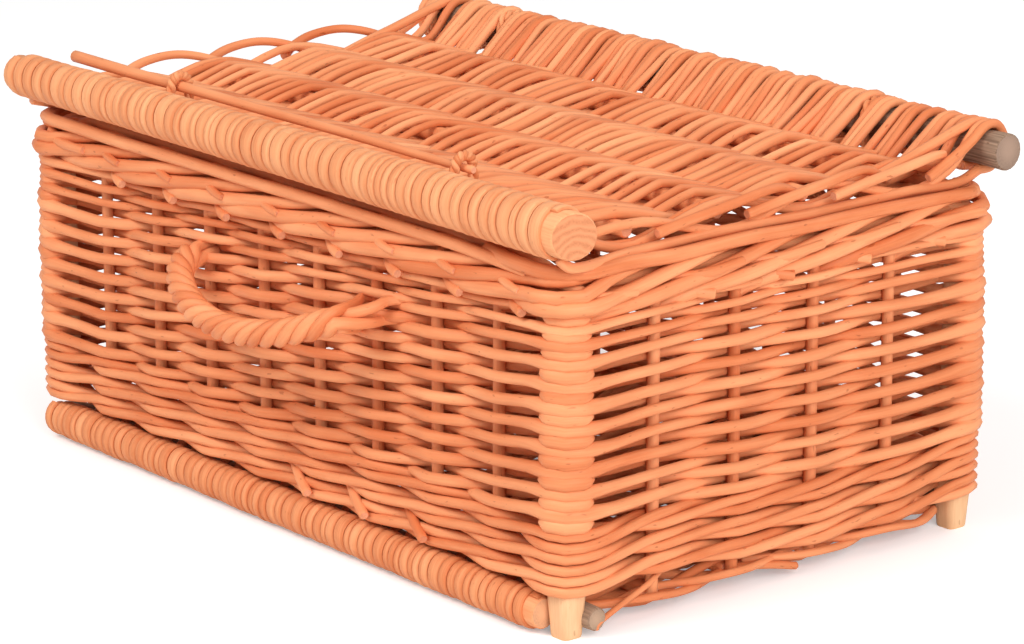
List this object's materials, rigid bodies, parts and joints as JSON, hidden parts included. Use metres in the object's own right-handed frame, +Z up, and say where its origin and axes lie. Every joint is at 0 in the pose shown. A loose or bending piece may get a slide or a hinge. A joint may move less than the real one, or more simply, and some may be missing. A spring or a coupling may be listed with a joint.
{
  "type": "wicker storage basket",
  "caption": "Rectangular woven willow storage basket with a hinged woven lid, a bound front roll, a sliding lock rod and a roped front handle.",
  "frame": {"origin": "on the floor, under the middle of the whole object's box", "axes": "+Z up, -Y out of the front wall with the handle, +X to the right along the front"},
  "size_m": [0.528, 0.3886, 0.2461],
  "materials": {
    "willow": "buff willow rods, smooth and a little glossy",
    "split_willow": "split willow strips, shaved flat",
    "peeled_stick": "peeled pale stick, sawn ends",
    "bark_stick": "grey-brown bark left on, sawn ends"
  },
  "bodies": {
    "basket": {"post_front_left": "peeled_stick", "post_front_right": "peeled_stick", "post_back_left": "peeled_stick", "post_back_right": "peeled_stick", "stake_front_1": "willow", "stake_front_2": "willow", "stake_front_3": "willow", "stake_front_4": "willow", "stake_front_5": "willow", "stake_front_6": "willow", "stake_front_7": "willow", "stake_front_8": "willow", "stake_back_1": "willow", "stake_back_2": "willow", "stake_back_3": "willow", "stake_back_4": "willow", "stake_back_5": "willow", "stake_back_6": "willow", "stake_back_7": "willow", "stake_back_8": "willow", "stake_left_1": "willow", "stake_left_2": "willow", "stake_left_3": "willow", "stake_left_4": "willow", "stake_right_1": "willow", "stake_right_2": "willow", "stake_right_3": "willow", "stake_right_4": "willow", "weave_front": "willow", "weave_right": "willow", "weave_back": "willow", "weave_left": "willow", "border_front": "willow", "border_right": "willow", "border_back": "willow", "border_left": "willow", "base_front_stick": "peeled_stick", "base_front_binding": "split_willow", "base_back_stick": "bark_stick", "base_stick_1": "peeled_stick", "base_stick_2": "peeled_stick", "base_stick_3": "peeled_stick", "base_stick_4": "peeled_stick", "base_weave": "willow", "hinge_loop_left": "split_willow", "hinge_loop_right": "split_willow", "lock_loop_left": "split_willow", "lock_loop_right": "split_willow", "handle": "willow"},
    "lid": {"lid_front_stick": "peeled_stick", "lid_front_binding": "split_willow", "lid_back_stick": "bark_stick", "lid_stick_1": "peeled_stick", "lid_stick_2": "peeled_stick", "lid_stick_3": "peeled_stick", "lid_stick_4": "peeled_stick", "lid_weave": "willow", "lid_edge_left": "willow", "lid_edge_right": "willow"},
    "lock_rod": {"lock_rod": "willow"}
  },
  "joints": [
    {"name": "lid_hinge", "type": "hinge", "parent": "basket", "child": "lid", "pos_m": [0, 0.1765, 0.22437], "axis": [-1, 0, 0], "range_deg": [0, 180]},
    {"name": "lock_rod_slide", "type": "slide", "parent": "basket", "child": "lock_rod", "axis": [-1, 0, 0], "range_m": [0, 0.28]}
  ]
}
